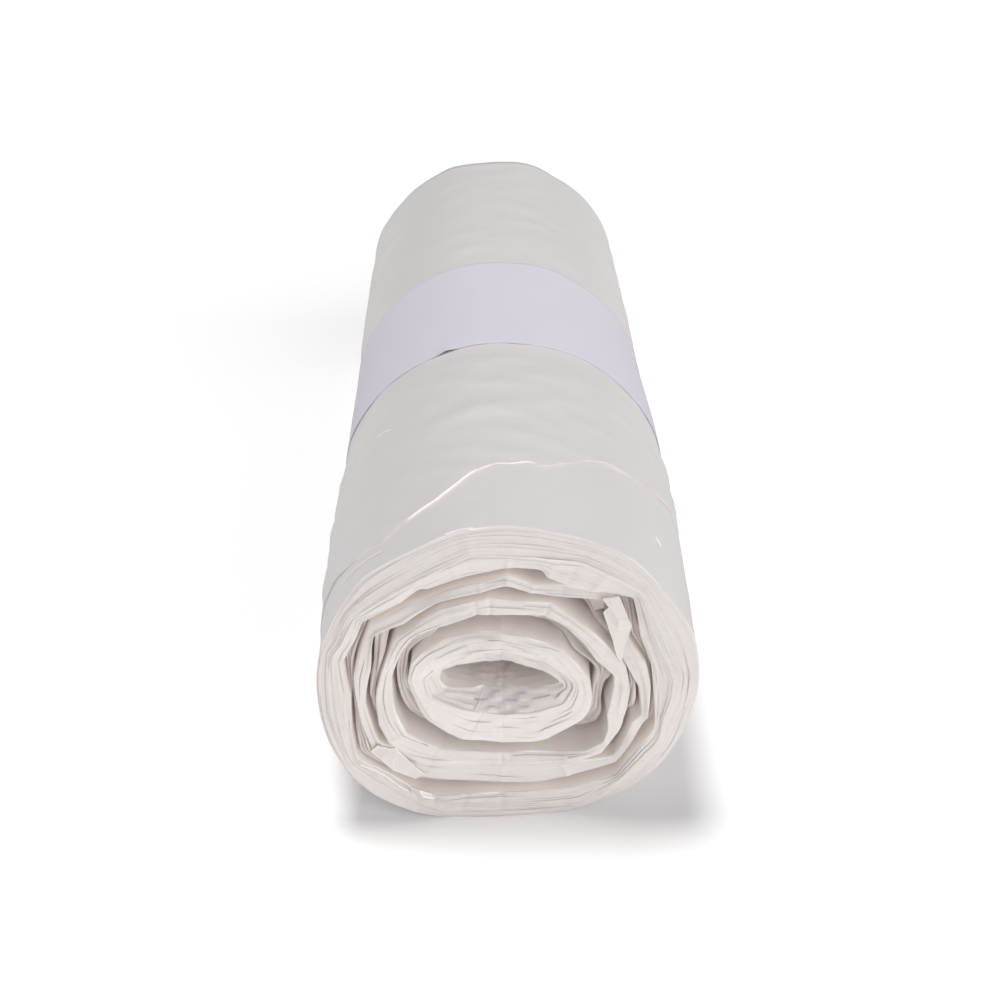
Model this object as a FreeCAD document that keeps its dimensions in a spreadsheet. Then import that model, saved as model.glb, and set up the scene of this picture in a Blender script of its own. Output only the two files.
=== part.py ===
import FreeCAD, Part
import os
import Sketcher

# A roll of thin film bin bags lying on its side, held by a paper band round its middle.
# The roll's axis runs along Y. Its lower side has a flat spot at height zero, and the origin
# is under the middle of the roll. Lengths are in millimetres.

doc = FreeCAD.newDocument("bin_bag_roll")

# Sizes that can be set by themselves
sizes = {
    "roll_length": 252.0,       # folded width of the bags
    "core_width": 25.5,         # hollow middle, side to side
    "core_rise": 5.2,           # hollow middle, above its centre
    "core_drop": 4.0,           # hollow middle, below its centre
    "resting_flat": 20.0,       # straight stretch under the outermost turn
    "crown_flat": 8.0,          # straight stretch on top of the outermost turn
    "corner_fullness": 0.57,    # 0.55 gives elliptic corners, more gives squarer ones
    "head_reach": 0.35,         # how far round its corner the inner end of the film starts
    "tail_reach": 0.6,          # how far round its corner the outer end of the film stops
    "band_width": 58.0,
    "band_paper": 0.2,
    "band_clearance": 0.15,     # between the paper and the film
    "band_overlap": 15.0,       # glued overlap on the underside
    "seat_depth": 0.8,          # how far the band draws in the outer turn
    "seat_margin": 1.5,         # drawn-in film past each edge of the band
}

# Each turn of the film, from the hollow middle outwards, at its right, top, left and bottom
sideNames = ["right", "top", "left", "bottom"]
turnNames = ["first", "second", "third", "fourth", "fifth", "sixth"]
turnThickness = {
    "first": (2.7, 3.4, 2.9, 3.6),
    "second": (3.7, 3.6, 3.7, 6.0),
    "third": (3.4, 3.5, 3.4, 3.0),
    "fourth": (2.0, 1.8, 2.4, 3.6),
    "fifth": (4.3, 4.2, 3.7, 4.0),
    "sixth": (4.0, 4.2, 3.0),
}
# The gap to the next turn out, at the same four sides
turnGap = {
    "first": (0.2, 0.2, 0.2, 0.3),
    "second": (4.4, 4.7, 3.4, 3.6),
    "third": (3.2, 2.2, 2.4, 1.0),
    "fourth": (1.6, 3.4, 1.0, 4.8),
    "fifth": (0.2, 0.2, 0.2),
}
# How softly the film bends at the hollow middle and just outside each turn: 1 is round, 0 has
# flat facets between its creases
bendSoftness = {
    "core": 1.0,
    "first": 1.0,
    "second": 1.0,
    "third": 0.7,
    "fourth": 0.65,
    "fifth": 0.97,
    "sixth": 1.0,
}
# Where each of those surfaces is creased in its quarters, as shares of the way from bottom to
# right, right to top, top to left and left to bottom
bendCreases = {
    "core": ((0.5,), (0.5,), (0.5,), (0.5,)),
    "first": ((0.5,), (0.5,), (0.5,), (0.5,)),
    "second": ((0.4, 0.7), (0.3, 0.75), (0.35, 0.75), (0.5,)),
    "third": ((0.35, 0.65), (0.4, 0.85), (0.3, 0.7), (0.25, 0.6)),
    "fourth": ((0.3, 0.6), (0.35, 0.65), (0.35, 0.75), (0.3, 0.7)),
    "fifth": ((0.33, 0.67), (0.33, 0.67), (0.33, 0.67), (0.33, 0.67)),
    "sixth": ((0.33, 0.67), (0.33, 0.67), (0.33, 0.67), (0.33, 0.67)),
}

for turn, softness in bendSoftness.items():
    sizes[turn + "_softness"] = softness
for turn in turnNames:
    for side, thickness in zip(sideNames, turnThickness[turn]):
        sizes[turn + "_" + side + "_thick"] = thickness
    for side, gap in zip(sideNames, turnGap.get(turn, ())):
        sizes[turn + "_" + side + "_gap"] = gap

# Sizes worked out from the ones above, as formulas in the sheet
formulas = {
    "roll_reach": "roll_length / 2",
    "band_reach": "band_width / 2",
    "seat_width": "band_width + 2 * seat_margin",
    "seat_reach": "band_width / 2 + seat_margin",
}

sheet = doc.addObject("Spreadsheet::Sheet", "Sizes")
for row, (name, value) in enumerate(list(sizes.items()) + list(formulas.items()), start=1):
    sheet.set("A%d" % row, name)
    sheet.set("B%d" % row, "=" + value if isinstance(value, str) else str(value))
    sheet.setAlias("B%d" % row, name)
doc.recompute()


def size(name):
    return float(sheet.get(name))


# Distance of each turn's inner and outer side from the middle of the core
def measureTurns():
    reach = {
        "right": size("core_width") / 2,
        "top": size("core_rise"),
        "left": size("core_width") / 2,
        "bottom": size("core_drop"),
    }
    inner = {}
    outer = {}
    for turn in turnNames:
        for side, thickness in zip(sideNames, turnThickness[turn]):
            inner[turn, side] = reach[side]
            outer[turn, side] = reach[side] + size(turn + "_" + side + "_thick")
            reach[side] = outer[turn, side]
        for side, gap in zip(sideNames, turnGap.get(turn, ())):
            reach[side] += size(turn + "_" + side + "_gap")
    return inner, outer


inner, outer = measureTurns()
rollRight = outer["sixth", "right"]
rollTop = outer["sixth", "top"]
rollLeft = outer["sixth", "left"]
rollBottom = outer["fifth", "bottom"]
coreX = (rollLeft - rollRight) / 2
coreZ = rollBottom


# The one or two ends of the straight stretch at one side of a turn, in the order in which the
# film runs: up the right, back over the top, down the left and under the bottom
def station(turn, side, distance):
    if side == "right":
        return [FreeCAD.Vector(coreX + distance, coreZ)]
    if side == "left":
        return [FreeCAD.Vector(coreX - distance, coreZ)]
    centre = coreX + (outer[turn, "right"] - outer[turn, "left"]) / 2
    share = (outer[turn, "right"] + outer[turn, "left"]) / (rollRight + rollLeft)
    if side == "top":
        half = size("crown_flat") * share / 2
        level = coreZ + distance
        return [FreeCAD.Vector(centre + half, level), FreeCAD.Vector(centre - half, level)]
    half = size("resting_flat") * share / 2
    level = coreZ - distance
    return [FreeCAD.Vector(centre - half, level), FreeCAD.Vector(centre + half, level)]


# The cubic quarter round between two straight stretches, one upright and the other level
def quarter(start, end, startUpright):
    full = size("corner_fullness")
    run = end - start
    across = FreeCAD.Vector(run.x * full, 0)
    along = FreeCAD.Vector(0, run.y * full)
    poles = [start, start + along, end - across, end]
    if not startUpright:
        poles = [start, start + across, end - along, end]
    curve = Part.BezierCurve()
    curve.setPoles(poles)
    return curve


# A quarter round as film takes it: an arc from crease to crease, flatter than the quarter
def creased(curve, surface, index, begin=0.0, finish=1.0):
    creases = [crease for crease in bendCreases[surface][index] if begin < crease < finish]
    stops = [begin] + creases + [finish]
    softness = size(surface + "_softness")
    arcs = []
    for before, after in zip(stops, stops[1:]):
        start = curve.value(before)
        end = curve.value(after)
        chord = (start + end) / 2
        middle = chord + (curve.value((before + after) / 2) - chord) * softness
        arcs.append(Part.Arc(start, middle, end))
    return arcs


# The film's inner or outer side, from its head in the core to its tail on the outside
def filmSide(distances, surfaces, headDrop, tailDrop):
    curves = []
    place = station("first", "bottom", headDrop)
    for turn, surface in zip(turnNames, surfaces):
        for index, side in enumerate(sideNames):
            atTail = (turn, side) == ("sixth", "bottom")
            if atTail:
                arrive = station("fifth", "bottom", tailDrop)
            else:
                arrive = station(turn, side, distances[turn, side])
            corner = quarter(place[-1], arrive[0], index % 2 == 1)
            begin = 0.0 if curves else size("head_reach")
            finish = size("tail_reach") if atTail else 1.0
            curves += creased(corner, surface, index, begin, finish)
            if len(arrive) == 2 and not atTail:
                curves.append(Part.LineSegment(arrive[0], arrive[1]))
            place = arrive
    return curves


# The closed outline of the wound film in a section across the roll
def rollOutline():
    headDrop = size("core_drop") - size("first_bottom_gap")
    tailDrop = rollBottom + size("fifth_left_gap")
    inside = filmSide(inner, ["core"] + turnNames, headDrop, tailDrop)
    outside = filmSide(outer, turnNames, headDrop, rollBottom)
    outside.reverse()
    for curve in outside:
        curve.reverse()
    tailEdge = Part.LineSegment(inside[-1].EndPoint, outside[0].StartPoint)
    headEdge = Part.LineSegment(outside[-1].EndPoint, inside[0].StartPoint)
    return inside + [tailEdge] + outside + [headEdge]


# The closed oval round the wound film, moved out or in by a set distance
def ovalOutline(distance):
    stations = [
        station("sixth", "right", rollRight + distance),
        station("sixth", "top", rollTop + distance),
        station("sixth", "left", rollLeft + distance),
        station("fifth", "bottom", rollBottom + distance),
    ]
    curves = []
    for index, after in enumerate(stations):
        corner = quarter(stations[index - 1][-1], after[0], index % 2 == 1)
        curves += creased(corner, "sixth", index)
        if len(after) == 2:
            curves.append(Part.LineSegment(after[0], after[1]))
    return curves


def originPlane(body, role):
    return [plane for plane in body.Origin.OriginFeatures if plane.Role == role][0]


# Closed outlines in a sketch across the roll, behind its middle by a size from the sheet
def crossSketch(body, name, outlines, reach):
    sketch = body.newObject("Sketcher::SketchObject", name)
    sketch.AttachmentSupport = [(originPlane(body, "XZ_Plane"), "")]
    sketch.MapMode = "FlatFace"
    sketch.setExpression("AttachmentOffset.Base.z", "-Sizes." + reach)
    for curves in outlines:
        sketch.addGeometry(curves, False)
    return sketch


# A pad or pocket that runs forward from its sketch, its length taken from the sheet
def runForward(body, kind, name, sketch, length):
    feature = body.newObject("PartDesign::" + kind, name)
    feature.Profile = sketch
    feature.setExpression("Length", "Sizes." + length)
    feature.Reversed = kind == "Pocket"
    doc.recompute()
    return feature


def boxOutline(left, right, bottom, top):
    corners = [
        FreeCAD.Vector(left, top),
        FreeCAD.Vector(right, top),
        FreeCAD.Vector(right, bottom),
        FreeCAD.Vector(left, bottom),
    ]
    return [Part.LineSegment(start, end) for start, end in zip(corners, corners[1:] + corners[:1])]


def makeRoll():
    body = doc.addObject("PartDesign::Body", "bag_roll")
    body.Label = "bag_roll"
    turns = crossSketch(body, "turns_outline", [rollOutline()], "roll_reach")
    doc.recompute()
    runForward(body, "Pad", "wound_turns", turns, "roll_length")
    wholeVolume = body.Shape.Volume
    wide = size("roll_length")
    around = boxOutline(-wide, wide, -wide, wide)
    drawnIn = ovalOutline(-size("seat_depth"))
    seat = crossSketch(body, "seat_outline", [around, drawnIn], "seat_reach")
    doc.recompute()
    runForward(body, "Pocket", "band_seat", seat, "seat_width")
    if body.Shape.Volume >= wholeVolume:
        raise RuntimeError("the band's seat was not cut")
    return body


# A rectangle of glued overlap, level under the flat spot of the band
def overlapSketch(body, left, top):
    sketch = body.newObject("Sketcher::SketchObject", "overlap_outline")
    sketch.AttachmentSupport = [(originPlane(body, "XZ_Plane"), "")]
    sketch.MapMode = "FlatFace"
    sketch.setExpression("AttachmentOffset.Base.z", "-Sizes.band_reach")
    width = size("band_overlap")
    depth = size("band_paper")
    topEdge, rightEdge, bottomEdge, leftEdge = range(4)
    sketch.addGeometry(boxOutline(left, left + width, top - depth, top), False)
    startPoint, endPoint = 1, 2
    following = {topEdge: rightEdge, rightEdge: bottomEdge, bottomEdge: leftEdge, leftEdge: topEdge}
    for edge, after in following.items():
        sketch.addConstraint(Sketcher.Constraint("Coincident", edge, endPoint, after, startPoint))
    for edge in (topEdge, bottomEdge):
        sketch.addConstraint(Sketcher.Constraint("Horizontal", edge))
    for edge in (rightEdge, leftEdge):
        sketch.addConstraint(Sketcher.Constraint("Vertical", edge))
    across = sketch.addConstraint(
        Sketcher.Constraint("DistanceX", topEdge, startPoint, topEdge, endPoint, width))
    down = sketch.addConstraint(
        Sketcher.Constraint("DistanceY", rightEdge, endPoint, rightEdge, startPoint, depth))
    origin = -1
    sketch.addConstraint(Sketcher.Constraint("DistanceX", origin, 1, topEdge, startPoint, left))
    sketch.addConstraint(Sketcher.Constraint("DistanceY", origin, 1, topEdge, startPoint, top))
    sketch.setExpression("Constraints[%d]" % across, "Sizes.band_overlap")
    sketch.setExpression("Constraints[%d]" % down, "Sizes.band_paper")
    return sketch


def makeBand():
    body = doc.addObject("PartDesign::Body", "paper_band")
    body.Label = "paper_band"
    insideReach = size("band_clearance") - size("seat_depth")
    outsideReach = insideReach + size("band_paper")
    outside = ovalOutline(outsideReach)
    ring = crossSketch(body, "band_outline", [outside, ovalOutline(insideReach)], "band_reach")
    doc.recompute()
    runForward(body, "Pad", "paper_wrap", ring, "band_width")
    under = station("fifth", "bottom", rollBottom + outsideReach)
    left = (under[0].x + under[1].x - size("band_overlap")) / 2
    overlap = overlapSketch(body, left, under[0].y)
    doc.recompute()
    runForward(body, "Pad", "glued_overlap", overlap, "band_width")
    return body


def checkDocument(bodies):
    for item in doc.Objects:
        if "Invalid" in item.State or "Error" in item.State:
            raise RuntimeError(item.Name + " did not rebuild")
    for body in bodies:
        if body.Shape.isNull() or not body.Shape.isValid():
            raise RuntimeError(body.Label + " has no valid shape")


bodies = [makeRoll(), makeBand()]
for body in bodies:
    body.Placement = FreeCAD.Placement()
doc.recompute()
checkDocument(bodies)

os.makedirs("parts", exist_ok=True)
for body in bodies:
    body.Shape.exportStep("parts/" + body.Label + ".step")
    box = body.Shape.BoundBox
    print(body.Label, "volume", round(body.Shape.Volume), "solids", len(body.Shape.Solids), "box", box)
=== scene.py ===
import bpy
import math
import numpy as np
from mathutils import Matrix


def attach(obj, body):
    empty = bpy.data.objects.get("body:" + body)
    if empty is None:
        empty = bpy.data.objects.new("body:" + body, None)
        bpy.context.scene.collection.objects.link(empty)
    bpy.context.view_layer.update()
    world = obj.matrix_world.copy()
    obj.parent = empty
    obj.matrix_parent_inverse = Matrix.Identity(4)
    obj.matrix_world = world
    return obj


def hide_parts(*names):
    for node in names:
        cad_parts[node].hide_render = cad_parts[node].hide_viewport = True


# A roll of thin film bin bags on its side, with a paper band. Lengths are in millimetres until a
# mesh is made. Angles run anticlockwise round the core, from the right, as seen from the front.

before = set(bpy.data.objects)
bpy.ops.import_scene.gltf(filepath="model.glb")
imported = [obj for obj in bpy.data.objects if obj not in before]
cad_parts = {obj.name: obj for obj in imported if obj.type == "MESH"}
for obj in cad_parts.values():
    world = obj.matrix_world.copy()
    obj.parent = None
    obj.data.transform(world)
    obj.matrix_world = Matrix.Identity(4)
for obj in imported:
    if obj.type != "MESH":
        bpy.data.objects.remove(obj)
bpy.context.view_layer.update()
print("stage: frame loaded")

rollLength = 252.0
coreWidth, coreRise, coreDrop = 25.5, 5.2, 4.0
restingFlat, crownFlat, cornerFullness = 20.0, 8.0, 0.57
bandWidth, bandPaper, bandClearance, bandOverlap = 58.0, 0.2, 0.15, 15.0
seatDepth, seatMargin = 0.8, 1.5
frontEnd, rearEnd = -rollLength / 2, rollLength / 2

# Right, top, left and bottom thickness of each turn, and the gap to the next one
turnNames = ["first", "second", "third", "fourth", "fifth", "sixth"]
turnThickness = {
    "first": (2.7, 3.4, 2.9, 3.6),
    "second": (3.7, 3.6, 3.7, 6.0),
    "third": (3.4, 3.5, 3.4, 3.0),
    "fourth": (2.0, 1.8, 2.4, 3.6),
    "fifth": (4.3, 4.2, 3.7, 3.0),
    "sixth": (4.0, 4.2, 3.0, 1.0),
}
turnGap = {
    "first": (0.2, 0.2, 0.2, 0.3),
    "second": (4.4, 4.7, 3.4, 3.6),
    "third": (3.2, 2.2, 2.4, 1.0),
    "fourth": (1.6, 3.4, 1.0, 4.8),
    "fifth": (0.2, 0.2, 0.2, 0.0),
}

sideReach = np.array([coreWidth / 2, coreRise, coreWidth / 2, coreDrop])
innerReach, outerReach = {}, {}
for turn in turnNames:
    innerReach[turn] = sideReach.copy()
    outerReach[turn] = sideReach + np.array(turnThickness[turn])
    sideReach = outerReach[turn] + np.array(turnGap.get(turn, (0.0, 0.0, 0.0, 0.0)))
rollRight, _, rollLeft, rollBottom = outerReach["sixth"]
coreX, coreZ = (rollLeft - rollRight) / 2, rollBottom

# How far each surface stands out from its even oval at the front end, by angle: the places where
# the film is creased
frontCreases = {
    "firstInner": [
        (2, -0.5), (14, -1.4), (27, -1.5), (52, -1.3), (83, -1.5), (124, -1.0), (153, 0.3),
        (164, 1.3), (174, -0.2), (191, -0.3), (232, -0.4), (280, -1.1), (318, -0.4), (355, 0.7),
    ],
    "secondInner": [
        (1, 0.1), (33, -0.3), (86, -0.1), (124, -0.2), (155, -0.8), (173, -0.4), (190, -1.0),
        (217, -1.7), (244, -0.8), (275, -1.2), (312, 0.2), (340, 1.0), (356, 0.4),
    ],
    "secondOuter": [
        (4, -0.2), (34, -0.2), (87, -0.1), (130, 0.3), (151, 0.7), (163, 0.5), (175, -0.5),
        (210, -0.4), (240, 0), (273, 0.1), (306, 1.1), (332, 1.9), (339, 1.8), (350, 0.9),
    ],
    "thirdInner": [
        (0, 0.5), (6, 0.7), (17, -1.5), (30, -1.1), (45, 0.1), (61, 1.0), (74, 0), (95, 0.1),
        (104, 0.4), (121, -0.1), (145, 0.9), (159, -0.1), (175, -0.6), (196, 0.2), (212, 1.6),
        (234, 0.8), (272, -0.3), (306, 2.5), (317, 4.6), (327, 4.8), (334, 3.3), (342, 1.0),
    ],
    "thirdOuter": [
        (8, 0), (18, -0.9), (35, -1.1), (60, -0.1), (96, 0.2), (125, -0.3), (152, -0.7),
        (187, -0.3), (202, 1.9), (213, 2.9), (219, 2.6), (225, 2.0), (237, 0.2), (250, -0.3),
        (272, -0.5), (303, 1.5), (321, 3.7), (337, 2.2), (358, 0.5),
    ],
    "fourthInner": [
        (3, -2.1), (13, -3.2), (30, 0.6), (43, 3.4), (59, 0.2), (73, -0.9), (86, 0.9), (99, -0.5),
        (122, -0.5), (142, -1.4), (154, 1.5), (172, -1.7), (191, 0.1), (210, 2.5), (235, 0.3),
        (272, -1.1), (302, 0.6), (322, 4.6), (331, 2.5), (341, 0.8), (345, 1.9), (358, -1.0),
    ],
    "fourthOuter": [
        (8, -1.0), (20, -2.1), (31, 0.4), (41, 2.9), (60, 0.2), (74, -0.6), (86, 0.8), (100, -0.3),
        (137, -0.9), (153, 0.9), (176, -0.8), (198, 0.0), (205, 0.8), (212, 2.2), (217, 1.9),
        (224, 2.5), (234, 1.8), (243, 0.7), (254, 0.3), (290, 0.5), (321, 2.9), (337, 1.0),
        (344, 1.2), (358, -0.3),
    ],
    "fifthInner": [
        (8, -1.7), (21, -1.4), (37, 3.1), (50, -0.7), (61, -1.5), (69, -1.4), (72, -0.1),
        (86, -0.1), (108, -1.6), (122, -1.5), (124, -0.8), (135, -1.6), (151, 1.3), (158, 0.1),
        (170, 0.9), (185, -1.0), (196, 0.4), (203, 1.8), (211, 3.5), (221, 1.8), (234, 1.1),
        (239, 1.6), (245, 0.4), (256, -1.3), (271, -2.4), (295, -1.8), (317, 1.5), (331, 0.5),
        (342, 1.2), (347, 0.2),
    ],
    "sixthInner": [
        (2, -0.2), (14, -2.1), (24, -1.6), (38, 1.2), (60, 0), (100, -0.4), (151, -0.2),
        (163, -0.7), (167, 0.3), (190, 0), (212, 1.6), (250, 0), (300, 0.3), (337, 0), (346, -1.5),
        (354, -0.6),
    ],
    "sixthOuter": [
        (8, -0.1), (19, 0.2), (31, -0.4), (48, 0.8), (70, -0.6), (87, 0), (108, -0.7), (122, -1.2),
        (139, -0.1), (188, -0.7), (205, 0.7), (222, 1.3), (240, 0.5), (256, -0.1), (282, -0.3),
        (309, -0.2), (329, 0.4), (349, -0.4),
    ],
}


# The even oval through four side reaches, as its distance from the core's centre at some angles
def ovalRadius(reaches, angles):
    right, top, left, bottom = reaches
    centre = (right - left) / 2
    scale = (right + left) / (rollRight + rollLeft)
    crown, flat = crownFlat * scale / 2, restingFlat * scale / 2
    along = np.linspace(0, 1, 90)[:, None]
    quarters = []
    for side, level, half in (
        (right, top, crown), (-left, top, crown), (-left, -bottom, flat), (right, -bottom, flat),
    ):
        end = centre + math.copysign(half, side)
        poles = np.array([
            (side, 0), (side, level * cornerFullness),
            (end + (side - end) * (1 - cornerFullness), level), (end, level),
        ])
        curve = (1 - along) ** 3 * poles[0] + 3 * (1 - along) ** 2 * along * poles[1]
        quarters.append(curve + 3 * (1 - along) * along ** 2 * poles[2] + along ** 3 * poles[3])
    points = np.concatenate(quarters)
    turned = np.arctan2(points[:, 1], points[:, 0]) % (2 * math.pi)
    order = np.argsort(turned)
    return np.interp(angles % (2 * math.pi), turned[order], np.hypot(*points[order].T), period=2 * math.pi)


degreeScale = np.arange(0, 360, 0.25)


# A closed profile given every quarter of a degree, rounded a little
def blunted(profile, blunt):
    away = (degreeScale + 180) % 360 - 180
    kernel = np.exp(-(away / blunt) ** 2 / 2)
    return np.fft.ifft(np.fft.fft(profile) * np.fft.fft(kernel / kernel.sum())).real


# Values given at some angles, read off at others, with their corners rounded a little
def atDegrees(pairs, angles, blunt=0.8):
    profile = blunted(np.interp(degreeScale, *np.array(pairs, float).T, period=360), blunt)
    return np.interp(np.degrees(angles), degreeScale, profile, period=360)


knownProfiles = {}


# How far a creased oval stands out from the even one: nearly straight facets between creases
def creaseProfile(name, reaches, creases, straight, blunt):
    if name in knownProfiles:
        return knownProfiles[name]
    places = np.array([angle for angle, offset in creases], float)
    corners = ovalRadius(reaches, np.radians(places)) + np.array([offset for angle, offset in creases])
    before = (np.searchsorted(places, degreeScale, side="right") - 1) % len(places)
    after = (before + 1) % len(places)
    start = np.radians((degreeScale - places[before]) % 360)
    end = np.radians((places[after] - degreeScale) % 360)
    low, high = corners[before], corners[after]
    facet = low * high * np.sin(start + end) / np.maximum(low * np.sin(start) + high * np.sin(end), 1e-6)
    even = ovalRadius(reaches, np.radians(degreeScale))
    bent = even + np.interp(degreeScale, places, [offset for angle, offset in creases], period=360)
    knownProfiles[name] = blunted(facet * straight + bent * (1 - straight) - even, blunt)
    return knownProfiles[name]


# A sum of sine waves round and along the roll, about -1 to 1, the same on every run
def ripples(seed, angles, along, rounds, wavelengths, count=9):
    dice = np.random.default_rng(seed)
    total = 0
    for wave in range(count):
        turns = int(dice.integers(rounds[0], rounds[1] + 1)) * (1 if dice.random() < 0.5 else -1)
        pitch = 2 * math.pi / dice.uniform(*wavelengths)
        total = total + np.sin(turns * angles + pitch * along + dice.uniform(0, 2 * math.pi))
    return total / math.sqrt(count)


def smoothStep(value, low, high):
    share = np.clip((value - low) / (high - low), 0, 1)
    return share * share * (3 - 2 * share)


# The roll isn't quite straight: how far it leans to the right and how wide it is, by depth
bendDepths = [0, 52, 80, 111, 135, 212, 252]
bendShift = [0.3, 1.15, 1.4, 1.5, 1.1, 0.6, 0.5]
bendWidth = [0.998, 1.012, 1.008, 1.005, 0.994, 0.983, 0.982]


def bend(x, y):
    depth = y - frontEnd
    width = np.interp(depth, bendDepths, bendWidth)
    return x * width + np.interp(depth, bendDepths, bendShift)


# How far the band draws in the outermost turn, by place along the roll
def seatInset(y):
    reach = bandWidth / 2 + seatMargin
    return seatDepth * (1 - smoothStep(np.abs(y), reach - 1, reach + 18))


# What each point gives off as painted light: a warm glow in place of light through the film, and painted
# white highlights along edges
def setLight(mesh, paintedGlow, paintedGlint):
    for name, values in (("paintedGlow", paintedGlow), ("paintedGlint", paintedGlint)):
        values = np.ravel(values).astype(np.float32)
        mesh.attributes.new(name, "FLOAT", "POINT").data.foreach_set("value", values)


# A closed mesh from grids, each with its points, its painted glow and its painted highlights
def makeMesh(name, grids):
    verts, faces = [], []
    for points, paintedGlow, paintedGlint in grids:
        rows, columns = points.shape[:2]
        first = sum(len(block) for block in verts)
        verts.append(points.reshape(-1, 3) / 1000)
        index = np.arange(rows * columns).reshape(rows, columns) + first
        after = np.roll(index, -1, axis=0)
        quads = np.stack([index, np.roll(index, -1, axis=1), np.roll(after, -1, axis=1), after], -1)
        faces.append(quads.reshape(-1, 4))
    verts, faces = np.concatenate(verts), np.concatenate(faces)
    mesh = bpy.data.meshes.new(name)
    mesh.vertices.add(len(verts))
    mesh.vertices.foreach_set("co", verts.astype(np.float32).ravel())
    mesh.loops.add(faces.size)
    mesh.loops.foreach_set("vertex_index", faces.astype(np.int32).ravel())
    mesh.polygons.add(len(faces))
    mesh.polygons.foreach_set("loop_start", np.arange(0, faces.size, 4, dtype=np.int32))
    mesh.polygons.foreach_set("use_smooth", np.ones(len(faces), dtype=bool))
    mesh.update(calc_edges=True)
    mesh.validate()
    setLight(mesh, *(np.concatenate([np.ravel(grid[place]) for grid in grids]) for place in (1, 2)))
    piece = bpy.data.objects.new(name, mesh)
    bpy.context.scene.collection.objects.link(piece)
    return piece


# Each turn is a bundle of windings. Its two ends are relief: every winding's edge has its own
# height, and they part and buckle near the creases. An end lies back by its setback, and by its
# foot at the bottom, its crown at the top inside and its shoulder at the top outside
# A turn's shine, where given, is painted light: an even white glow over its end rows that makes them look
# whiter
bundles = {
    "first": {"windings": 4, "columns": 300, "setback": 0.9, "touchIn": False, "touchOut": True,
              "seed": 11, "foot": 5.5, "footStart": -0.3, "crown": 2.6, "shoulder": 0.0},
    "second": {"windings": 6, "columns": 340, "setback": 0.0, "touchIn": True, "touchOut": False,
              "seed": 23, "foot": 0.0, "footStart": 0.0, "crown": 0.0, "shoulder": 1.6, "paintedShine": 0.05},
    "third": {"windings": 4, "columns": 420, "setback": 0.4, "touchIn": False, "touchOut": False,
              "seed": 37, "foot": 1.6, "footStart": 0.4, "crown": 0.0, "shoulder": 0.5, "paintedShine": 0.02},
    "fourth": {"windings": 3, "columns": 460, "setback": 1.2, "touchIn": False, "touchOut": False,
              "seed": 41, "foot": 0.6, "footStart": 0.4, "crown": 0.0, "shoulder": 0.8},
    "fifth": {"windings": 7, "columns": 540, "setback": 0.3, "touchIn": False, "touchOut": True,
              "seed": 59, "foot": 0.3, "footStart": 0.8, "crown": 0.0, "shoulder": 0.0},
    "sixth": {"windings": 7, "columns": 600, "setback": 0.6, "touchIn": True, "touchOut": False,
              "seed": 67, "foot": 0.0, "footStart": 0.0, "crown": 0.0, "shoulder": 0.0},
}
rearShift = 23.0  # degrees by which the creases at the rear end are turned
endTilt = 0.9  # how much an end tips in or out between two creases
# Painted glow in the gaps, in place of light that comes through the film: inner and outer side of each turn
paintedGapGlow = {
    "first": (0.08, 0.0), "second": (0.05, 0.16), "third": (0.1, 0.16), "fourth": (0.12, 0.16),
    "fifth": (0.22, 0.0), "sixth": (0.0, 0.0),
}
holeDepths = [0.25, 0.8] + [1.5 + 0.7 * step for step in range(36)] + [28, 31, 35, 41, 50, 62, 80, 100, 126]
openDepths = [0.25, 0.8, 1.6, 3, 5, 8, 12, 17, 23, 31, 41, 54, 72, 95, 126]
closeDepths = [0.5, 3, 12, 40, 126]
# Places across one winding, and how deep the groove beside its edge is there
windingSteps = ((0.0, 1.0), (0.16, 0.2), (0.5, 0.0), (0.84, 0.2))


# Slack windings deep in the gaps, between the turn below and the turn above
slackTurns = {
    "slackSecond": {"below": "second", "above": "third", "windings": 3, "columns": 320, "seed": 131},
    "slackThird": {"below": "third", "above": "fourth", "windings": 2, "columns": 340, "seed": 149},
    "slackFourth": {"below": "fourth", "above": "fifth", "windings": 3, "columns": 380, "seed": 157},
}
for facts in slackTurns.values():
    facts.update({"touchIn": False, "touchOut": False})


# One side of a turn. Two turns that touch share a profile, and the creases fade with depth
def surfaceRadius(turn, side, angles, depth, rear):
    name = turn + side
    reaches = innerReach[turn] if side == "Inner" else outerReach[turn]
    name = {"firstOuter": "secondInner", "fifthOuter": "sixthInner"}.get(name, name)
    straight, blunt, kept = (0.15, 3.0, 0.0) if name == "sixthOuter" else (0.7, 0.7, 0.35)
    profile = creaseProfile(name, reaches, frontCreases[name], straight, blunt)
    stand = np.interp(np.degrees(angles) - (rearShift if rear else 0.0), degreeScale, profile, period=360)
    share = kept + (1 - kept) * (1 - smoothStep(depth, 3, 38))
    return ovalRadius(reaches, angles) + stand * share * (0.6 if rear else 1.0)


# A place in a section across the roll, kept on or above the floor
def crosswise(radius, angles):
    z = coreZ + radius * np.sin(angles)
    press = 0.4
    z = np.where(z < press, press * np.exp(np.minimum(z - press, 0) / press), z)
    return coreX + radius * np.cos(angles), z


def slackRadii(turn, angles, depth, y, rear):
    facts = slackTurns[turn]
    below = bundleRadii(facts["below"], angles, depth, y, rear)[1]
    above = bundleRadii(facts["above"], angles, depth, y, rear)[0]
    gap = np.maximum(above - below, 0.1)
    wave = 0.09 * ripples(facts["seed"], angles, y, (4, 15), (9, 40))
    return below + gap * (0.16 + wave), below + gap * (0.8 + wave)


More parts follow.
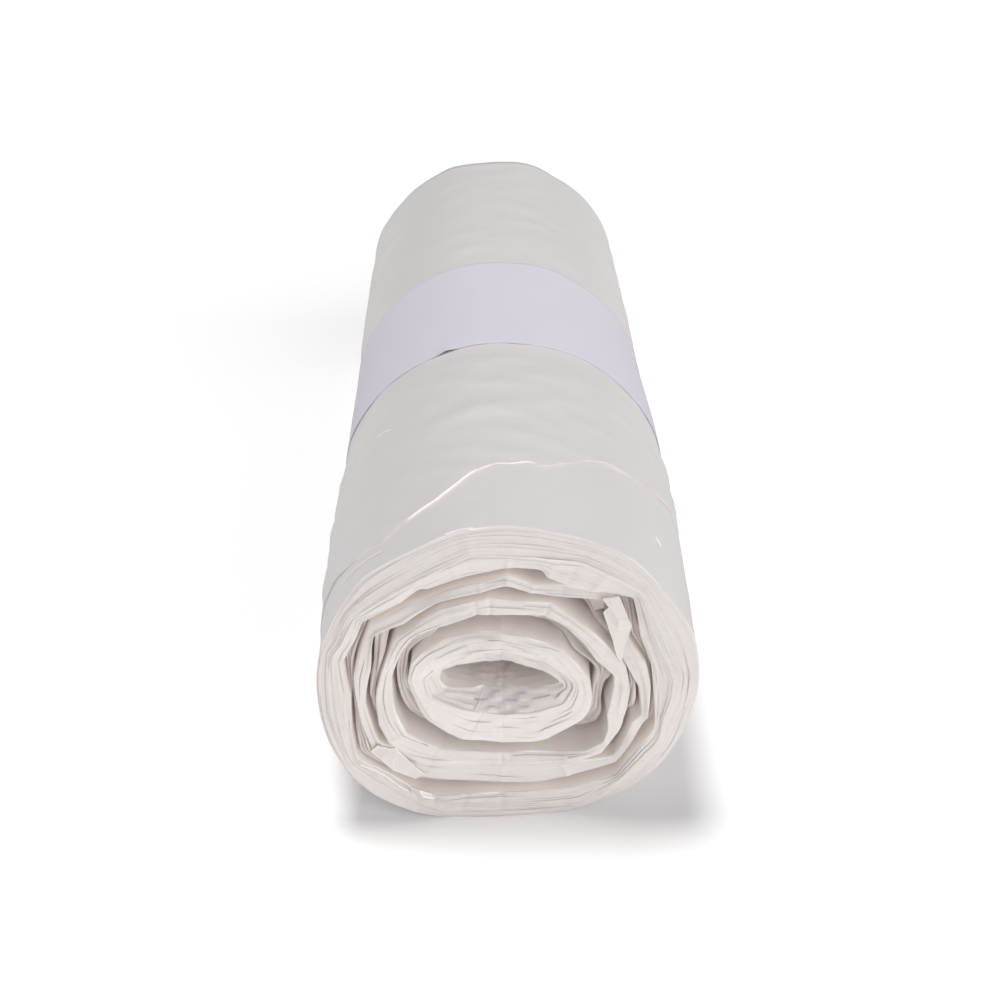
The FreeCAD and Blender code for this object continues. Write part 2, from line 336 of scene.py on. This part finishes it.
# The inner and outer side of a turn, with its crumples
def bundleRadii(turn, angles, depth, y, rear):
    if turn in slackTurns:
        return slackRadii(turn, angles, depth, y, rear)
    facts = bundles[turn]
    low = surfaceRadius(turn, "Inner", angles, depth, rear)
    high = surfaceRadius(turn, "Outer", angles, depth, rear)
    place = turnNames.index(turn)
    if place > 0:
        below = surfaceRadius(turnNames[place - 1], "Outer", angles, depth, rear)
        low = below - 0.02 if facts["touchIn"] else np.maximum(low, below + 0.02)
    high = np.maximum(high, low + 0.9)
    crumple = 0.25 + 0.75 * smoothStep(depth, 0, 12)
    inWave = 0.03 if facts["touchIn"] else 0.26
    outWave = 0.02 if facts["touchOut"] or turn == "sixth" else 0.24
    low = low + inWave * crumple * ripples(facts["seed"], angles, y, (3, 16), (11, 50))
    high = high + outWave * crumple * ripples(facts["seed"] + 1, angles, y, (3, 16), (11, 50))
    if turn == "first":
        deep = 0.2 + 0.8 * smoothStep(depth, 0.3, 3)
        folds = np.abs(ripples(facts["seed"] + 2, angles, y, (1, 4), (3, 9), 7))
        low = low + deep * (0.2 - 0.3 * folds)
        low = low + 0.03 * deep * ripples(facts["seed"] + 3, angles, y, (3, 12), (2.5, 6), 12)
    if turn == "sixth":
        high = high - seatInset(y) + 0.05 * ripples(81, angles, y, (6, 30), (6, 30))
    return low, high


# How far back a slack winding's edge lies: furthest at the roll's top and bottom. In the
# outermost gap it comes forward at the lower left
def slackHeight(turn, angles, place, groove, rear):
    facts = slackTurns[turn]
    seed = facts["seed"] + place * 7 + (500 if rear else 0)
    level = 3.2 + 7.5 * np.abs(np.sin(angles)) ** 1.5 + 1.1 * ripples(seed, angles, 0, (3, 13), (50, 90))
    if turn == "slackFourth":
        level = level * (1 - 0.8 * np.exp(-((np.degrees(angles) - 216) / 19) ** 2))
    return np.maximum(level, 1.2) + groove * 0.9 + place * 0.4


# Where one turn lies on the next with no gap, their edges meet at one height
def edgeHeight(turn, angles, place, share, groove, rear):
    lastOfFifth = bundles["fifth"]["windings"]
    neighbour = {("fifth", 1.0): ("sixth", 0), ("sixth", 0.0): ("fifth", lastOfFifth)}
    height = endHeight(turn, angles, place, share, groove, rear)
    if (turn, share) in neighbour:
        other, otherPlace = neighbour[(turn, share)]
        otherHeight = endHeight(other, angles, otherPlace, 1.0 - share, groove, rear)
        height = (height + otherHeight) / 2 - groove * 0.1
    return height


# How far back a winding's edge lies at the end of a turn
def endHeight(turn, angles, place, share, groove, rear):
    if turn in slackTurns:
        return slackHeight(turn, angles, place, groove, rear)
    facts = bundles[turn]
    seed = facts["seed"] + (500 if rear else 0)
    dice = np.random.default_rng(seed + 7)
    count = facts["windings"]
    steps = np.cumsum(dice.normal(0, 0.14, count + 1))
    steps -= steps.mean()
    winding = min(place, count - 1)
    height = facts["setback"] + steps[winding]
    height = height + 0.16 * ripples(seed + winding * 3, angles, 0, (2, 9), (50, 90))
    height = height + 0.3 * ripples(seed, angles, 0, (1, 4), (50, 90))
    foot = facts["foot"] * smoothStep(-np.sin(angles), facts["footStart"], 0.97)
    crown = smoothStep(np.sin(angles), 0.2, 0.95)
    inside = (1 - share) ** 1.5 * (foot + facts["crown"] * crown)
    height = height + inside + share ** 2 * facts["shoulder"] * crown
    if turn == "first":
        height = height + 0.07 * ripples(seed + 90 + winding, angles, 0, (6, 22), (50, 90)) * (share < 1)
    if turn == "sixth":
        if not rear:
            height = height - 2.2 * share * np.exp(-((np.degrees(angles) - 240) / 38) ** 2)
        top = np.clip(np.sin(angles), 0, 1)
        height = height + (winding / count) ** 1.5 * (0.6 + 1.6 * top)
    places = [angle for angle, offset in frontCreases[turn + "Inner"]]
    buckle = 0
    for angle in places:
        crease = math.radians(angle + (rearShift if rear else 0))
        away = (angles - crease + math.pi) % (2 * math.pi) - math.pi
        buckle = buckle + dice.uniform(-0.4, 0.4) * np.exp(-(away / math.radians(1.3)) ** 2)
    widest = 0.07 if turn in ("fifth", "sixth") else 0.05
    parting = np.random.default_rng(seed + place * 13).uniform(0.01, widest)
    parting = parting * np.clip(0.6 + 0.5 * ripples(seed + place * 17, angles, 0, (2, 8), (50, 90)), 0, 2)
    tilt = np.interp(np.degrees(angles), places, dice.uniform(-1, 1, len(places)), period=360)
    buckle = buckle * (0.3 if turn == "sixth" else 0.8)
    return height + buckle + groove * parting + tilt * (share - 0.5) * endTilt


def makeBundle(turn):
    facts = slackTurns[turn] if turn in slackTurns else bundles[turn]
    angles = np.linspace(0, 2 * math.pi, facts["columns"], endpoint=False)
    count = facts["windings"]
    paintedGlints = []

    def sideDepths(outward):
        if turn == "first" and not outward:
            return holeDepths
        return closeDepths if facts["touchOut" if outward else "touchIn"] else openDepths

    def endRows(rear):
        made = []
        for winding in range(count + 1):
            for step, groove in windingSteps if winding < count else windingSteps[:1]:
                share = (winding + step) / count
                touching = (share == 0.0 and facts["touchIn"]) or (share == 1.0 and facts["touchOut"])
                rim = 0.14 if share in (0.0, 1.0) and not touching else 0.0
                deep = groove * (0.4 if touching else 1.0)
                height = edgeHeight(turn, angles, winding, share, deep, rear) + rim
                wobble = 0.3 / count * ripples(facts["seed"] + winding, angles, 0, (2, 8), (50, 90))
                share = np.clip(share + wobble * (0 < share < 1), 0, 1)
                y = rearEnd - height if rear else frontEnd + height
                low, high = bundleRadii(turn, angles, np.zeros_like(angles), y, rear)
                x, z = crosswise(low + (high - low) * share, angles)
                made.append(np.stack([bend(x, y), y, z], -1))
                # Painted highlights along the open rims of an end, and the turn's painted shine over every
                # end row
                edge = 0.35 + 0.65 * ripples(facts["seed"] + 900 + winding, angles, 0, (3, 17), (50, 90))
                paintedGlints.append(0.3 * np.clip(edge, 0, 1) * (rim > 0) + facts.get("paintedShine", 0.0))
        return made

    def sideRows(outward, frontRim, rearRim):
        depths = sideDepths(outward)
        made = []
        places = [(depth, False) for depth in depths] + [(depth, True) for depth in reversed(depths[:-1])]
        for depth, rear in places:
            share = 1 - smoothStep(depth, 0, 60)
            drift = (rearRim - rearEnd) * share if rear else (frontRim - frontEnd) * share
            y = (rearEnd - depth if rear else frontEnd + depth) + drift
            low, high = bundleRadii(turn, angles, np.full_like(angles, depth), y, rear)
            if depth == depths[-1]:
                other = bundleRadii(turn, angles, np.full_like(angles, depth), y, not rear)
                low, high = (low + other[0]) / 2, (high + other[1]) / 2
            x, z = crosswise(high if outward else low, angles)
            made.append(np.stack([bend(x, y), y, z], -1))
        return made

    # Painted glow on a side that faces a gap: brightest near the ends, fading deeper in
    def paintedGlowRow(outward, depth):
        strength = paintedGapGlow.get(turn, (0.1, 0.1))[1 if outward else 0]
        fade = 9 if turn == "first" else 3.0
        return np.full(len(angles), strength) * (0.08 + 0.92 * math.exp(-depth / fade))

    front, rear = endRows(False), endRows(True)
    outer = sideRows(True, front[-1][:, 1], rear[-1][:, 1])
    inner = sideRows(False, front[0][:, 1], rear[0][:, 1])
    rows = front + outer + rear[::-1] + inner[::-1]
    # Painted light by row: painted white light on the end rows (highlights and shine), a warm painted glow
    # on the sides
    dull = np.zeros(len(angles))
    paintedGlow, paintedGlint = [dull] * len(front), paintedGlints[:len(front)]
    for outward in (True, False):
        depths = sideDepths(outward) + sideDepths(outward)[-2::-1]
        paintedGlow = paintedGlow + [paintedGlowRow(outward, depth) for depth in depths]
        paintedGlint = paintedGlint + [dull] * len(depths)
        if outward:
            paintedGlow, paintedGlint = paintedGlow + [dull] * len(rear), paintedGlint + paintedGlints[:len(front) - 1:-1]
    return np.stack(rows), np.stack(paintedGlow), np.stack(paintedGlint)


grids = {turn: makeBundle(turn) for turn in turnNames + list(slackTurns)}
turnPieces = []
for name, members in {
    "turns_core": ["first", "second"],
    "turns_middle": ["third", "fourth"],
    "turns_fifth": ["fifth"],
    "turns_outer": ["sixth"],
    "slack_film": list(slackTurns),
}.items():
    turnPieces.append(makeMesh(name, [grids[turn] for turn in members]))
print("stage: turns made,", sum(len(piece.data.polygons) * 2 for piece in turnPieces), "triangles")


# Loose film on the front end: flat facets of crumpled film and thin strips with painted highlights along
# its folds.
# Points are by place across, place up and how far they stand forward, and folds by how bright their painted
# highlight is
crumples = {
    "crossing": {
        "points": [(19.6, 55.1, 0.1), (22.9, 55.6, 0.1), (21.0, 53.2, 0.4), (19.9, 51.6, -0.3),
                   (22.9, 50.4, 0.6), (25.1, 49.9, 0.2), (25.7, 48.3, -0.3), (23.0, 47.7, 0.1),
                   (22.0, 45.2, 0.5), (24.8, 44.9, -0.3), (22.9, 41.5, 0.3), (23.9, 39.7, 0.2),
                   (16.4, 53.3, -6.0), (20.3, 54.2, -5.0), (20.3, 49.8, -5.0), (18.4, 48.6, -6.0)],
        "facets": [(0, 2, 4, 5, 1), (2, 3, 4), (3, 7, 4), (4, 7, 6, 5), (3, 8, 7), (7, 8, 9, 6), (8, 10, 9),
                   (10, 11, 9), (12, 15, 14, 13)],
        "folds": [((0, 2, 3), 0.1), ((7, 4, 5), 0.06), ((7, 6), 0.12), ((3, 8, 10, 11), 0.08),
                  ((9, 6, 5, 1), 0.06)],
    },
    "lowerFold": {
        "points": [(-28.8, 17.1, -0.6), (-27.5, 18.5, -0.5), (-24.6, 17.9, -0.2), (-23.7, 18.0, -0.4),
                   (-19.9, 13.3, -0.3), (-17.5, 10.8, -0.5), (-19.4, 9.9, -0.6), (-24.2, 12.3, -0.4),
                   (-26.9, 15.6, 0.0), (-24.3, 15.5, 0.0), (-24.0, 14.2, -0.4), (-23.2, 16.7, 0.1)],
        "facets": [(0, 8, 2, 1), (8, 7, 9, 2), (2, 9, 11, 3), (9, 7, 10), (9, 10, 11), (10, 7, 6, 4),
                   (10, 4, 11), (11, 4, 3), (6, 5, 4)],
        "folds": [((0, 8, 7, 6), 0.15), ((0, 1, 2, 3), 0.12), ((3, 4, 5), 0.15), ((9, 7), 0.08)],
    },
    "tailEnd": {
        "points": [(-21.2, 8.7, 0.2), (-18.6, 7.7, 0.9), (-16.1, 6.2, 0.3), (-15.6, 4.8, 0.0),
                   (-19.0, 5.0, 0.5), (-20.5, 6.5, 0.0), (-17.8, 6.3, 1.2)],
        "facets": [(0, 5, 6, 1), (5, 4, 6), (4, 3, 6), (6, 3, 2), (6, 2, 1)],
        "folds": [((1, 6, 3), 0.3), ((5, 4), 0.15), ((1, 2), 0.2)],
    },
    "tail": {
        "points": [(-31.2, 14.2, 0.3), (-28.3, 13.0, 0.5), (-25.6, 11.1, 0.4), (-22.9, 8.6, 0.6),
                   (-21.2, 7.3, 0.4), (-31.1, 15.1, 0.1), (-27.8, 13.6, 0.2), (-24.8, 11.6, 0.1),
                   (-21.7, 9.2, 0.2), (-20.1, 8.1, 0.2)],
        "facets": [],
        "folds": [((0, 1, 2, 3, 4), 0.25), ((5, 6, 7, 8, 9), 0.12)],
    },
}
# Creases on the wrap with painted highlights along them: angle, distance from the front, and how bright the
# painted highlight is
wrapCreases = [([(138, 67.5), (135, 67.2), (132, 66.0)], 0.15), ([(32, 20.5), (34, 22.5)], 0.3),
               ([(150, 11), (140, 9), (131, 8.5)], 0.1), ([(107, 2.6), (102, 2.9), (98, 2.6)], 0.15)]


def makeLooseFilm():
    verts, faces, paintedGlint = [], [], []

    # A thin closed slab behind some facets
    def slab(front, facets, back, paintedShine):
        first, count = len(verts), len(front)
        verts.extend(front)
        verts.extend(tuple(np.add(point, back)) for point in front)
        paintedGlint.extend([paintedShine] * count * 2)
        edges = set()
        for facet in facets:
            faces.append([first + corner for corner in facet])
            faces.append([first + count + corner for corner in reversed(facet)])
            edges.update(zip(facet, facet[1:] + facet[:1]))
        for start, end in edges:
            if (end, start) not in edges:
                faces.append([first + start, first + count + start, first + count + end, first + end])

    # A thin strip with a painted highlight that lies along a fold
    def line(points, wide, facing, paintedShine):
        points = np.array(points, float)
        run = np.gradient(points, axis=0)
        aside = np.cross(run, facing)
        aside = aside / np.linalg.norm(aside, axis=1)[:, None] * wide / 2
        count = len(points)
        front = [tuple(point) for point in np.concatenate([points + aside, points - aside])]
        facets = [(i, count + i, count + i + 1, i + 1) for i in range(count - 1)]
        slab(front, facets, np.multiply(facing, -0.15), paintedShine)

    for facts in crumples.values():
        front = [(bend(x, frontEnd), frontEnd - forward, z) for x, z, forward in facts["points"]]
        if facts["facets"]:
            slab(front, facts["facets"], (0, 0.6, 0), 0)
        for fold, paintedShine in facts["folds"]:
            line([np.add(front[corner], (0, -0.08, 0)) for corner in fold], 0.2, (0, -1, 0), paintedShine)
    for places, paintedShine in wrapCreases:
        angles = np.radians([place[0] for place in places])
        points = outerSurface(angles, frontEnd + np.array([place[1] for place in places], float), 0.5)
        middle = float(np.mean(angles))
        line(points, 0.25, (math.cos(middle), 0, math.sin(middle)), paintedShine)
    mesh = bpy.data.meshes.new("loose_film")
    mesh.from_pydata([tuple(value / 1000 for value in vert) for vert in verts], [], faces)
    mesh.validate()
    setLight(mesh, [0.0] * len(paintedGlint), paintedGlint)
    piece = bpy.data.objects.new("loose_film", mesh)
    bpy.context.scene.collection.objects.link(piece)
    return piece


# The outermost film: its front edge is cut back unevenly and stands up a little, with a painted highlight
# along parts of it
filmEdge = [
    (0, 60), (20, 50), (43, 42), (50, 42), (54, 41), (66, 34.5), (74, 30), (80, 31), (89, 30.5),
    (93, 30), (97, 28), (103, 23.5), (111, 19), (121, 16), (131, 13.5), (142, 13), (150, 16.5),
    (175, 21), (200, 17), (225, 9), (250, 8), (290, 12), (330, 30),
]
# How bright the painted highlight along that edge is, by angle
paintedEdgeHighlight = [
    (40, 0), (44, 0.12), (52, 0.15), (60, 0.2), (78, 0.2), (82, 0.8), (90, 0.8), (91.5, 0.05),
    (93, 0.8), (95, 0.8), (96.5, 0.05), (98, 0.75), (120, 0.7), (122, 0), (132, 0), (134, 0.25),
    (148, 0.2), (152, 0),
]


def outerSurface(angles, y, lift):
    depth = np.minimum(y - frontEnd, rearEnd - y)
    rear = 0.5 + 0.5 * np.tanh(y / 25)
    front = bundleRadii("sixth", angles, depth, y, False)[1]
    back = bundleRadii("sixth", angles, depth, y, True)[1]
    radius = front * (1 - rear) + back * rear + lift
    x, z = crosswise(radius, angles)
    return np.stack(np.broadcast_arrays(bend(x, y), y, np.maximum(z, 0.02)), -1)


def makeOuterFilm():
    angles = np.linspace(0, 2 * math.pi, 520, endpoint=False)
    edge = frontEnd + atDegrees(filmEdge, angles) + 0.3 * ripples(91, angles, 0, (9, 40), (50, 90))
    back = rearEnd - 1.2 + 0.3 * ripples(92, angles, 0, (2, 9), (50, 90))
    lifted = 0.16 + 0.12 * ripples(93, angles, 0, (3, 15), (50, 90))
    lifted = np.clip(lifted, 0.04, 0.45) * smoothStep(np.sin(angles), -0.7, 0.1)
    shares = np.concatenate([[0, 0.0009, 0.004, 0.009, 0.018], np.linspace(0.03, 1, 96)])
    rows = []
    for share in shares:
        y = edge + (back - edge) * share
        near = np.exp(-(y - edge) / 3.5)
        folds = 0.2 * ripples(95, angles, y, (1, 8), (7, 26), 12)
        folds = folds - 0.3 * np.abs(ripples(96, angles, y, (1, 6), (9, 30), 7))
        settled, banded = 1 - near, 1 - smoothStep(np.abs(y), bandWidth / 2 - 1, bandWidth / 2 + 16)
        folds = np.maximum(folds * settled * (0.4 + 0.6 * smoothStep(-y, 0, 20)), -0.3)
        lift = (0.1 + 0.3 * settled + lifted * near + folds) * (1 - banded) + 0.53 * banded
        rows.append(outerSurface(angles, y, lift))
    under = []
    for share in (1, 0.5, 0.1, 0.02, 0):
        y = edge + (back - edge) * share
        under.append(outerSurface(angles, y, -0.1))
    points = np.stack(rows + under)
    # A painted highlight on the edge's top and under rows
    paintedGlint = np.zeros(points.shape[:2])
    paintedGlint[0] = paintedGlint[-1] = 0.4 * atDegrees(paintedEdgeHighlight, angles, 0.5)
    return points, np.zeros_like(paintedGlint), paintedGlint


outerFilm = makeMesh("outer_film", [makeOuterFilm()])
looseFilm = makeLooseFilm()
print("stage: outer and loose film made")


# The paper band, with its overlap underneath and a place where its front edge has come up:
# at which angle, how high, over how many degrees and how far back
band = {"overFilm": 0.45, "raisedAt": 110, "raised": 0.5, "raisedWidth": 3.2, "raisedDepth": 4}


def bandRadius(angles, outward):
    even = ovalRadius(outerReach["sixth"], angles)
    return even - seatDepth + bandClearance + band["overFilm"] + outward


def makeBand():
    angles = np.linspace(0, 2 * math.pi, 520, endpoint=False)
    frontEdge = -bandWidth / 2 + 0.35 * ripples(101, angles, 0, (2, 9), (50, 90))
    backEdge = bandWidth / 2 + 0.35 * ripples(102, angles, 0, (2, 9), (50, 90))
    shares = np.concatenate([[0, 0.01, 0.03, 0.06], np.linspace(0.1, 0.9, 28), [0.94, 0.97, 0.99, 1]])
    away = np.degrees(angles) - band["raisedAt"]
    raised = band["raised"] * np.exp(-(away / band["raisedWidth"]) ** 2)
    half = math.degrees(bandOverlap / 2 / rollBottom)
    overlap = smoothStep(angles, math.radians(271 - half), math.radians(271.8 - half))
    overlap = overlap * (1 - smoothStep(angles, math.radians(271 + half), math.radians(271.8 + half)))
    rows = []
    for outward, order in ((bandPaper, shares), (0.0, shares[::-1])):
        for share in order:
            y = frontEdge + (backEdge - frontEdge) * share
            radius = bandRadius(angles, outward)
            radius = radius + raised * np.exp(-(y - frontEdge) / band["raisedDepth"])
            radius = radius + 0.04 * ripples(103, angles, y, (3, 14), (30, 90))
            x, z = crosswise(radius + 0.15 * overlap * (outward > 0), angles)
            rows.append(np.stack([bend(x, y), y, z], -1))
    return np.stack(rows)


bandGrid = makeBand()
dull = np.zeros(bandGrid.shape[:2])
paperBand = makeMesh("paper_wrap", [(bandGrid, dull, dull)])
print("stage: band made")


# Shader maths as plain expressions
class Wire:
    def __init__(self, tree, socket):
        self.tree, self.socket = tree, socket

    def join(self, operation, first, second):
        node = self.tree.nodes.new("ShaderNodeMath")
        node.operation = operation
        for slot, value in enumerate((first, second)):
            if isinstance(value, Wire):
                self.tree.links.new(value.socket, node.inputs[slot])
            else:
                node.inputs[slot].default_value = value
        return Wire(self.tree, node.outputs[0])

    def __add__(self, other):
        return self.join("ADD", self, other)

    def __mul__(self, other):
        return self.join("MULTIPLY", self, other)

    __radd__ = __add__


class Finish:
    def __init__(self, name):
        self.material = bpy.data.materials.new(name)
        self.material.use_nodes = True
        self.tree = self.material.node_tree
        self.shader = self.tree.nodes["Principled BSDF"]

    def node(self, kind, settings=None, **values):
        made = self.tree.nodes.new(kind)
        for key, value in (settings or {}).items():
            setattr(made, key, value)
        for key, value in values.items():
            self.put(made.inputs[key.replace("_", " ")], value)
        return made

    def put(self, socket, value):
        if isinstance(value, Wire):
            self.tree.links.new(value.socket, socket)
        else:
            socket.default_value = value

    def set(self, **values):
        for key, value in values.items():
            self.put(self.shader.inputs[key.replace("_", " ")], value)

    def place(self, stretch):
        where = self.node("ShaderNodeTexCoord")
        scaled = self.node("ShaderNodeVectorMath", {"operation": "MULTIPLY"})
        self.tree.links.new(where.outputs["Object"], scaled.inputs[0])
        scaled.inputs[1].default_value = stretch
        return Wire(self.tree, scaled.outputs[0])

    def noise(self, stretch, detail=3.0, rough=0.55, twist=0.0):
        made = self.node("ShaderNodeTexNoise", Scale=1.0, Detail=detail, Roughness=rough, Distortion=twist)
        self.put(made.inputs["Vector"], self.place(stretch))
        return Wire(self.tree, made.outputs["Factor" if "Factor" in made.outputs else "Fac"])

    def mix(self, factor, first, second):
        made = self.node("ShaderNodeMix", {"data_type": "RGBA"})
        self.put(made.inputs[0], factor)
        self.put(made.inputs[6], first)
        self.put(made.inputs[7], second)
        return Wire(self.tree, made.outputs[2])

    def bump(self, height, distance, strength, under=None):
        made = self.node("ShaderNodeBump", Strength=strength, Distance=distance)
        self.put(made.inputs["Height"], height)
        if under is not None:
            self.put(made.inputs["Normal"], under)
        return Wire(self.tree, made.outputs[0])


# Surfaces that face along the roll, mainly its ends, get a whiter colour than the wrap: partly the whiter
# look of stacked winding edges, partly painted light in place of a lamp from the front. Where the painted
# glow is set, on the sides in the gaps, the colour is warmer: painted warm light in place of light that has
# come through the film
filmLook = {
    "wrap": ((0.86, 0.817, 0.822, 1), (0.83, 0.787, 0.787, 1)),
    "ends": ((0.95, 0.886, 0.862, 1), (0.92, 0.856, 0.828, 1)),
    "between": (0.85, 0.81, 0.785, 1),
    "paintedGlowColour": (1.0, 0.88, 0.8, 1),
    "creaseReach": 0.22,
}


def filmFinish(name):
    film = Finish(name)
    facing = film.node("ShaderNodeSeparateXYZ")
    film.put(facing.inputs[0], Wire(film.tree, film.node("ShaderNodeTexCoord").outputs["Normal"]))
    along = Wire(film.tree, facing.outputs[1])
    endwise = along.join("ABSOLUTE", along, 0.0)
    clouds = film.noise((60, 25, 60), 3.0)
    streaks = film.noise((45, 420, 45), 4.0, 0.6)
    grain = film.noise((900, 900, 900), 2.0)
    crinkle = film.noise((260, 260, 260), 3.0, 0.6, 0.8)
    shards = film.node("ShaderNodeTexVoronoi", {"feature": "DISTANCE_TO_EDGE"}, Scale=1.0)
    film.put(shards.inputs["Vector"], film.place((150, 110, 150)))
    shard = Wire(film.tree, shards.outputs["Distance"])
    shard = shard.join("MINIMUM", shard, filmLook["creaseReach"])
    wrap, ends = film.mix(clouds, *filmLook["wrap"]), film.mix(clouds, *filmLook["ends"])
    values = [film.node("ShaderNodeAttribute", {"attribute_name": key}) for key in ("paintedGlow", "paintedGlint")]
    paintedGlow, paintedGlint = (Wire(film.tree, value.outputs["Fac"]) for value in values)
    # Warmer colour where the painted glow is set: painted warm light on the gap sides
    between = film.mix(paintedGlow * 50, wrap, filmLook["between"])
    # Whiter colour on surfaces that face along the roll: partly the look of stacked edges, partly painted
    # light from the front
    tint = film.mix(endwise * endwise, between, ends)
    film.set(Base_Color=tint, Roughness=0.3 + clouds * 0.22, Specular_IOR_Level=0.45)
    # The film gives off painted light, though it is no lamp: the warm glow on gap sides and white
    # highlights along edges
    warm = film.mix(paintedGlow, (0, 0, 0, 1), filmLook["paintedGlowColour"])
    film.set(Emission_Color=film.mix(paintedGlint, warm, (1, 1, 1, 1)), Emission_Strength=1.0)
    film.material.cycles.emission_sampling = "NONE"
    soft = film.bump(streaks, 0.00035, 0.35)
    creased = film.bump(shard * endwise, 0.0012, 0.35, soft)
    film.set(Normal=film.bump(crinkle + grain * 0.15, 0.0002, 0.3, creased))
    return film.material


paperLook = {"tints": ((0.83, 0.79, 0.885, 1), (0.795, 0.755, 0.85, 1))}


def paperFinish():
    paper = Finish("band_paper")
    fibres = paper.noise((700, 500, 700), 4.0, 0.7)
    clouds = paper.noise((70, 40, 70), 3.0)
    tint = paper.mix(clouds * 0.7 + fibres * 0.3, *paperLook["tints"])
    paper.set(Base_Color=tint, Roughness=0.62 + fibres * 0.2, Specular_IOR_Level=0.35)
    paper.set(Normal=paper.bump(fibres, 0.00008, 0.5))
    return paper.material


filmMaterial, paperMaterial = filmFinish("bin_bag_film"), paperFinish()
for piece in turnPieces + [outerFilm, looseFilm]:
    piece.data.materials.append(filmMaterial)
    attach(piece, "root")
    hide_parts("bag_roll")
paperBand.data.materials.append(paperMaterial)
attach(paperBand, "root")
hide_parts("paper_band")
print("stage: finishes set")


# A pale floor, soft light and the camera
def makeFloor():
    mesh = bpy.data.meshes.new("floor")
    reach = 6.0
    corners = [(-reach, -reach, 0), (reach, -reach, 0), (reach, reach, 0), (-reach, reach, 0)]
    mesh.from_pydata(corners, [], [(0, 1, 2, 3)])
    floor = bpy.data.objects.new("floor", mesh)
    bpy.context.scene.collection.objects.link(floor)
    # The camera sees a whiter floor than the one that sends light back up to the roll
    finish = Finish("pale_floor")
    grain = finish.noise((30, 30, 30), 2.0)
    finish.set(Base_Color=finish.mix(grain, (0.97, 0.97, 0.97, 1), (0.95, 0.95, 0.95, 1)), Roughness=0.9)
    finish.set(Specular_IOR_Level=0.1)
    white = finish.node("ShaderNodeBsdfDiffuse", Color=(1.24, 1.24, 1.24, 1))
    mix, rays = finish.node("ShaderNodeMixShader"), finish.node("ShaderNodeLightPath")
    links = finish.tree.links
    links.new(rays.outputs["Is Camera Ray"], mix.inputs[0])
    links.new(finish.shader.outputs[0], mix.inputs[1])
    links.new(white.outputs[0], mix.inputs[2])
    links.new(mix.outputs[0], finish.tree.nodes["Material Output"].inputs[0])
    mesh.materials.append(finish.material)


def makeWorld(strength):
    world = bpy.data.worlds.new("studio")
    bpy.context.scene.world = world
    world.use_nodes = True
    tree = world.node_tree
    tree.nodes.clear()
    rays = tree.nodes.new("ShaderNodeLightPath")
    lit, seen = tree.nodes.new("ShaderNodeBackground"), tree.nodes.new("ShaderNodeBackground")
    lit.inputs["Color"].default_value, lit.inputs["Strength"].default_value = (1, 1, 1, 1), strength
    seen.inputs["Color"].default_value, seen.inputs["Strength"].default_value = (1, 1, 1, 1), 1.0
    mix, output = tree.nodes.new("ShaderNodeMixShader"), tree.nodes.new("ShaderNodeOutputWorld")
    tree.links.new(rays.outputs["Is Camera Ray"], mix.inputs[0])
    tree.links.new(lit.outputs[0], mix.inputs[1])
    tree.links.new(seen.outputs[0], mix.inputs[2])
    tree.links.new(mix.outputs[0], output.inputs[0])


# Broad soft lamps from far off. Each comes from so many degrees aside from the front, to the
# right where positive, and so many degrees up
lamps = {
    "overhead": {"aside": -143, "up": 77.5, "spread": 20, "power": 1.66},
    "front": {"aside": 38, "up": 14, "spread": 70, "power": 1.76},
    "left": {"aside": -70, "up": 8, "spread": 50, "power": 0.33},
}


def makeLamp(name, aside, up, spread, power):
    lamp = bpy.data.lights.new(name, "SUN")
    lamp.angle, lamp.energy = math.radians(spread), power
    made = bpy.data.objects.new(name, lamp)
    bpy.context.scene.collection.objects.link(made)
    made.rotation_euler = (math.radians(90 - up), 0, math.radians(aside))


# Where the camera stands in metres, and how many degrees it looks down and to the left
view = {"place": (-0.005508, -0.421207, 0.234478), "down": 27.935, "leftward": -0.868, "lens": 61.2}


def makeCamera():
    data = bpy.data.cameras.new("camera")
    data.lens, data.sensor_width = view["lens"], 36.0
    data.clip_start, data.clip_end = 0.01, 50.0
    camera = bpy.data.objects.new("camera", data)
    bpy.context.scene.collection.objects.link(camera)
    camera.location = view["place"]
    camera.rotation_euler = (math.radians(90 - view["down"]), 0, math.radians(view["leftward"]))
    bpy.context.scene.camera = camera


makeFloor()
makeWorld(0.15)
for name, facts in lamps.items():
    makeLamp(name, **facts)
makeCamera()
bpy.context.scene.view_settings.view_transform = "Standard"
print("stage: light and camera set")
